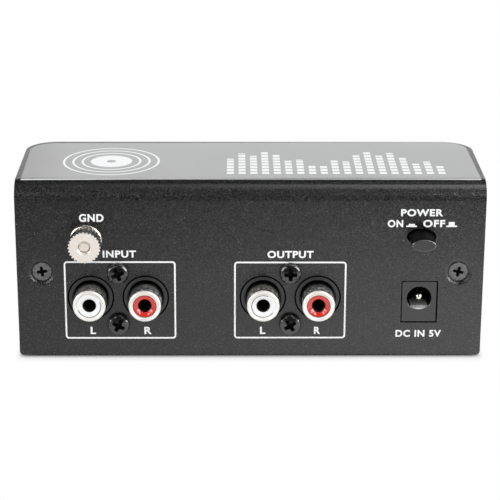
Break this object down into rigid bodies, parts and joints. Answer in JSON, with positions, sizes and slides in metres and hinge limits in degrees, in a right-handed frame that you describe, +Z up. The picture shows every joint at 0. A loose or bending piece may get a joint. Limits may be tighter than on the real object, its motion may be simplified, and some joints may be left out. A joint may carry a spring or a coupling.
{
  "type": "phono preamp",
  "caption": "Small phono preamp in a folded black steel case, with RCA jack pairs, a DC inlet, a latching power button and a ground terminal with a thumb nut.",
  "frame": {"origin": "on the surface that the feet stand on, at the middle of the object's outline from above", "axes": "+Z up, +X along the case's width, -Y out of the jack wall, so the jacks face -Y"},
  "size_m": [0.1186, 0.0462, 0.0472],
  "materials": {
    "black_coat": "fine-grained black powder coat",
    "label_foil": "printed grey foil under a clear gloss",
    "rubber": "matt",
    "black_screw": "black-plated steel, half gloss",
    "steel_screw": "zinc-plated",
    "black_plastic": "moulded, fine matt",
    "nickel": "nickel plate",
    "white_plastic": "glossy white",
    "red_plastic": "glossy red",
    "spring_bronze": "tinned bronze",
    "button_plastic": "moulded, satin",
    "ivory_plastic": "natural nylon",
    "board_green": "solder mask",
    "green_wire": "PVC insulation",
    "cap_sleeve": "shrink sleeve",
    "film_case": "epoxy-dipped",
    "resistor_blue": "lacquer",
    "black_epoxy": "moulded epoxy",
    "light_lens": "tinted clear lens"
  },
  "bodies": {
    "case": {"case_cover": "black_coat", "case_wrap": "black_coat", "base_plate": "black_coat", "top_label": "label_foil", "foot_1": "rubber", "foot_2": "rubber", "foot_3": "rubber", "foot_4": "rubber", "case_screws": "black_screw", "base_screws": "black_screw", "board_spacers": "steel_screw", "board_screws": "steel_screw", "input_housing": "black_plastic", "output_housing": "black_plastic", "jack_screws": "black_screw", "input_left_shell": "nickel", "input_right_shell": "nickel", "output_left_shell": "nickel", "output_right_shell": "nickel", "input_left_insulator": "white_plastic", "input_right_insulator": "red_plastic", "output_left_insulator": "white_plastic", "output_right_insulator": "red_plastic", "input_left_contact": "spring_bronze", "input_right_contact": "spring_bronze", "output_left_contact": "spring_bronze", "output_right_contact": "spring_bronze", "dc_housing": "black_plastic", "dc_pin": "nickel", "dc_spring": "nickel", "switch_housing": "black_plastic", "switch_spring": "nickel", "latch_pin": "nickel", "switch_terminals": "nickel", "switch_board": "board_green", "board_header": "black_plastic", "ground_stud": "nickel", "ground_collar": "nickel", "ground_lock_nut": "nickel", "ground_lug": "nickel", "ground_wire": "green_wire", "main_board": "board_green", "op_amp": "black_epoxy", "coupling_cap_1": "cap_sleeve", "coupling_cap_2": "cap_sleeve", "coupling_cap_3": "cap_sleeve", "coupling_cap_4": "cap_sleeve", "supply_cap_1": "cap_sleeve", "supply_cap_2": "cap_sleeve", "film_capacitors": "film_case", "resistors": "resistor_blue", "supply_diode": "black_epoxy", "power_light": "light_lens"},
    "button": {"power_button": "button_plastic", "switch_plunger": "ivory_plastic"},
    "clamp_washer": {"clamp_washer": "nickel"},
    "thumb_nut": {"thumb_nut": "nickel"}
  },
  "joints": [
    {"name": "power_button_press", "type": "slide", "parent": "case", "child": "button", "axis": [0, 1, 0], "range_m": [0, 0.0028], "stiffness_N_per_m": 400, "springref_m": -0.0015, "deforming": ["switch_spring"]},
    {"name": "clamp_travel", "type": "slide", "parent": "case", "child": "clamp_washer", "axis": [0, -1, 0], "range_m": [0, 0.002]},
    {"name": "thumb_nut_turn", "type": "hinge", "parent": "clamp_washer", "child": "thumb_nut", "pos_m": [-0.0416, -0.0203, 0.0321], "axis": [0, -1, 0], "range_deg": [0, 1440]}
  ],
  "couplings": [
    {"joint": "thumb_nut_turn", "follows": "clamp_travel", "rad_per_m": 12566}
  ]
}
